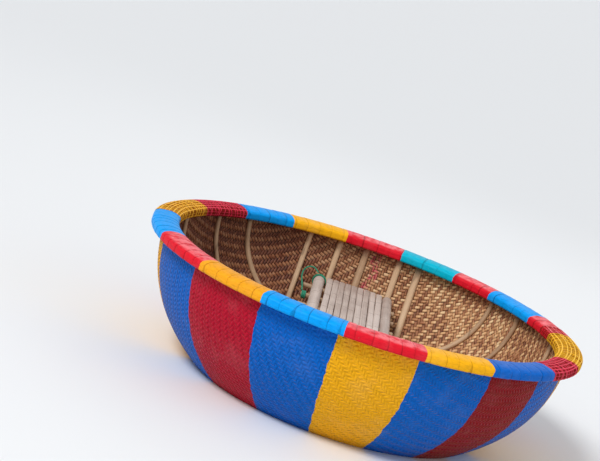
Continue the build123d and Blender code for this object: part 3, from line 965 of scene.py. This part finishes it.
def rope_finish(name):
    """Green rope, paler where the strands rub, with fine fibres."""
    recipe = Recipe(name, 0.6)
    where = recipe.place()
    fibre = recipe.noise(where, 900.0, 4.0, 0.7)
    patch = recipe.noise(where, 25.0)
    value = recipe.math("ADD", recipe.math("MULTIPLY", fibre, 0.5), recipe.math("MULTIPLY", patch, 0.5))
    stops = [(0.3, (0.008, 0.11, 0.06)), (0.55, (0.02, 0.25, 0.14)), (0.75, (0.16, 0.42, 0.28))]
    return recipe.finish(recipe.ramp(value, stops), None, fibre, 0.0004)


rope_green = rope_finish("green rope")


# %% The two hitches
HITCH_TURNS = 2.7
HITCH_START = 0.7
TUCK_POINTS = 6
TUCK_DEPTH = ROPE_DIAMETER * 0.6


def middle_of(node):
    """Middle of a node's box, turned back by the bench's skew, at the height of the rungs."""
    low, high = np.array(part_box(node))
    x, y, _ = (low + high) / 2
    c, s = np.cos(BENCH_SKEW), np.sin(BENCH_SKEW)
    return x * c + y * s, y * c - x * s, RUNG_HEIGHT


def hitch_round(name, node, along_y, radius):
    """Turns of rope side by side round a pole. The line is a helix round the pole's axis whose pitch is
    about one diameter of the rope, with both ends tucked in towards the pole."""
    angle = np.linspace(0, 2 * np.pi * HITCH_TURNS, int(64 * HITCH_TURNS))
    reach = (radius + ROPE_DIAMETER / 2) * np.ones_like(angle)
    reach[:TUCK_POINTS] -= np.linspace(TUCK_DEPTH, 0, TUCK_POINTS)
    reach[-TUCK_POINTS:] -= np.linspace(0, TUCK_DEPTH, TUCK_POINTS)
    length = (angle / angle[-1] - 0.5) * ROPE_DIAMETER * (HITCH_TURNS - 0.2)
    across = reach * np.cos(angle + HITCH_START)
    up = reach * np.sin(angle + HITCH_START)
    flat = (across, length, up) if along_y else (length, across, up)
    hitch = laid_rope(name, turned(np.stack(flat, axis=-1) + middle_of(node)), ROPE_DIAMETER, 12)
    paint(hitch, rope_green)
    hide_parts(node)
    return hitch


rail_hitch = hitch_round("rope_hitch_rail", "rope_knot_rail", True, LEFT_RAIL_RADIUS)
rung_hitch = hitch_round("rope_hitch_rung", "rope_knot_rung", False, RUNG_RADIUS)

# %% The loop between the hitches
rope_line, rope_length = even_line(route_line(ROPE_ROUTE), ROPE_STEP)
rope = laid_rope("green_rope", rope_line, ROPE_DIAMETER)
paint(rope, rope_green)
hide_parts("rope_loop")
print("rope length", round(rope_length, 3))

# %% [markdown]
# ## Pieces that come from the frame
# The seven rungs have their true shape in the frame, so they only change material. Every other piece of
# the frame is hidden by a new one.

# %% Paint the rungs
for name, node in nodes.items():
    if name.startswith("bench_rung"):
        paint(node, rung_cane)

# %% [markdown]
# ## Floor, light and camera
# A boat afloat sits in the water up to its waterline, so the pale floor lies at that height and has a
# round hole that the hull fills. The camera stands where the photograph was taken from: nine metres
# away, a little above the rim, and rolled, because the boat heels in the picture.


# %% A floor with a round hole
FLOOR_REACH = 400.0
FLOOR_OVERLAP = 0.004


def floor_ring(name, inner, outer, rings=24, around=128):
    """Rings whose radii grow evenly in ratio from the hull to the far edge."""
    radius = np.geomspace(inner, outer, rings)[None, :]
    angle = np.linspace(0, 2 * np.pi, around, endpoint=False)[:, None]
    flat = (radius * np.cos(angle), radius * np.sin(angle), np.full((around, rings), WATERLINE))
    points = np.stack(flat, axis=-1)
    step = np.arange(around)[:, None] * rings
    after = (step + rings) % (around * rings)
    ring = np.arange(rings - 1)[None, :]
    corners = (step + ring, step + ring + 1, after + ring + 1, after + ring)
    quads = np.stack(np.broadcast_arrays(*corners), axis=-1).reshape(-1, 4)
    mesh = bpy.data.meshes.new(name)
    mesh.from_pydata(points.reshape(-1, 3).tolist(), [], quads.tolist())
    floor = bpy.data.objects.new(name, mesh)
    bpy.context.scene.collection.objects.link(floor)
    return floor


runs = np.linspace(0, RIM_RUN, 2000)
radii, heights, _ = bowl_profile(runs)
hull_at_water = float(np.interp(WATERLINE, heights, radii))
floor = floor_ring("floor", hull_at_water - FLOOR_OVERLAP, FLOOR_REACH)
floor_recipe = Recipe("pale floor", 0.7)
floor_recipe.shader.inputs["Base Color"].default_value = (0.80, 0.81, 0.82, 1)
paint(floor, floor_recipe.material)
print("hull radius at the waterline", round(hull_at_water, 3))

# %% Light
LAMPS = [
    # name, place, energy in watts, size in metres
    ("key", (-3.2, -3.6, 5.2), 60, 3.0),
    ("fill", (4.5, -3.0, 3.2), 40, 4.0),
    ("back", (1.0, 5.0, 4.5), 30, 3.5),
]
for name, place, energy, size in LAMPS:
    lamp = bpy.data.lights.new(name, "AREA")
    lamp.energy = energy
    lamp.size = size
    lamp_object = bpy.data.objects.new(name, lamp)
    bpy.context.scene.collection.objects.link(lamp_object)
    lamp_object.location = place
    aim = np.array((0, 0, 0.5)) - np.array(place)
    level = np.hypot(aim[0], aim[1])
    lamp_object.rotation_euler = (np.arctan2(level, -aim[2]), 0, np.arctan2(aim[1], aim[0]) - np.pi / 2)

world = bpy.data.worlds.new("studio")
bpy.context.scene.world = world
world.use_nodes = True
sky = world.node_tree
soft_light = sky.nodes["Background"]
soft_light.inputs["Color"].default_value = (0.95, 0.97, 1.0, 1)
soft_light.inputs["Strength"].default_value = 0.55
backdrop = sky.nodes.new("ShaderNodeBackground")
backdrop.inputs["Color"].default_value = (0.80, 0.825, 0.85, 1)
rays = sky.nodes.new("ShaderNodeLightPath")
seen = rays.outputs["Is Camera Ray"]
for kind in ("Is Glossy Ray", "Is Transmission Ray"):
    either = sky.nodes.new("ShaderNodeMath")
    either.operation = "MAXIMUM"
    sky.links.new(seen, either.inputs[0])
    sky.links.new(rays.outputs[kind], either.inputs[1])
    seen = either.outputs[0]
choice = sky.nodes.new("ShaderNodeMixShader")
sky.links.new(seen, choice.inputs[0])
sky.links.new(soft_light.outputs[0], choice.inputs[1])
sky.links.new(backdrop.outputs[0], choice.inputs[2])
sky.links.new(choice.outputs[0], sky.nodes["World Output"].inputs["Surface"])
sun = bpy.data.lights.new("sun", "SUN")
sun.energy = 1.9
sun.angle = np.radians(18)
sun_object = bpy.data.objects.new("sun", sun)
bpy.context.scene.collection.objects.link(sun_object)
sun_object.rotation_euler = (np.radians(42), np.radians(-14), np.radians(-20))

# %% Camera
PHOTO_SIZE = (600, 461)
RIM_CENTRE_PIXEL = (370.0, 279.0)
FOCAL_PIXELS = 1930.0
ELEVATION = np.radians(11.7)
ROLL = np.radians(19.33)
DISTANCE = 9.0


def photo_camera():
    """Looks at the rim's centre from the photograph's elevation, then turns aside so that this centre
    falls on its pixel, and rolls about the line of sight."""
    right = np.array((1.0, 0.0, 0.0))
    ahead = np.array((0.0, np.cos(ELEVATION), -np.sin(ELEVATION)))
    up = np.cross(right, ahead)
    image_right = np.cos(ROLL) * right + np.sin(ROLL) * up
    image_up = np.cos(ROLL) * up - np.sin(ROLL) * right
    aside = RIM_CENTRE_PIXEL[0] - PHOTO_SIZE[0] / 2
    below = RIM_CENTRE_PIXEL[1] - PHOTO_SIZE[1] / 2
    sight = ahead + (below * image_up - aside * image_right) / FOCAL_PIXELS
    sight /= np.linalg.norm(sight)
    x_axis = image_right - sight * (image_right @ sight)
    x_axis /= np.linalg.norm(x_axis)
    y_axis = np.cross(-sight, x_axis)
    matrix = np.eye(4)
    matrix[:3, :3] = np.stack((x_axis, y_axis, -sight), axis=1)
    matrix[:3, 3] = np.array((0, 0, RIM_TOP)) - ahead * DISTANCE
    return matrix


lens = bpy.data.cameras.new("camera")
lens.sensor_width = 36.0
lens.lens = FOCAL_PIXELS / PHOTO_SIZE[0] * lens.sensor_width
camera = bpy.data.objects.new("camera", lens)
bpy.context.scene.collection.objects.link(camera)
camera.matrix_world = Matrix(photo_camera().tolist())
bpy.context.scene.camera = camera
bpy.context.scene.view_settings.view_transform = "Standard"
print("lens", round(lens.lens, 1), "mm")
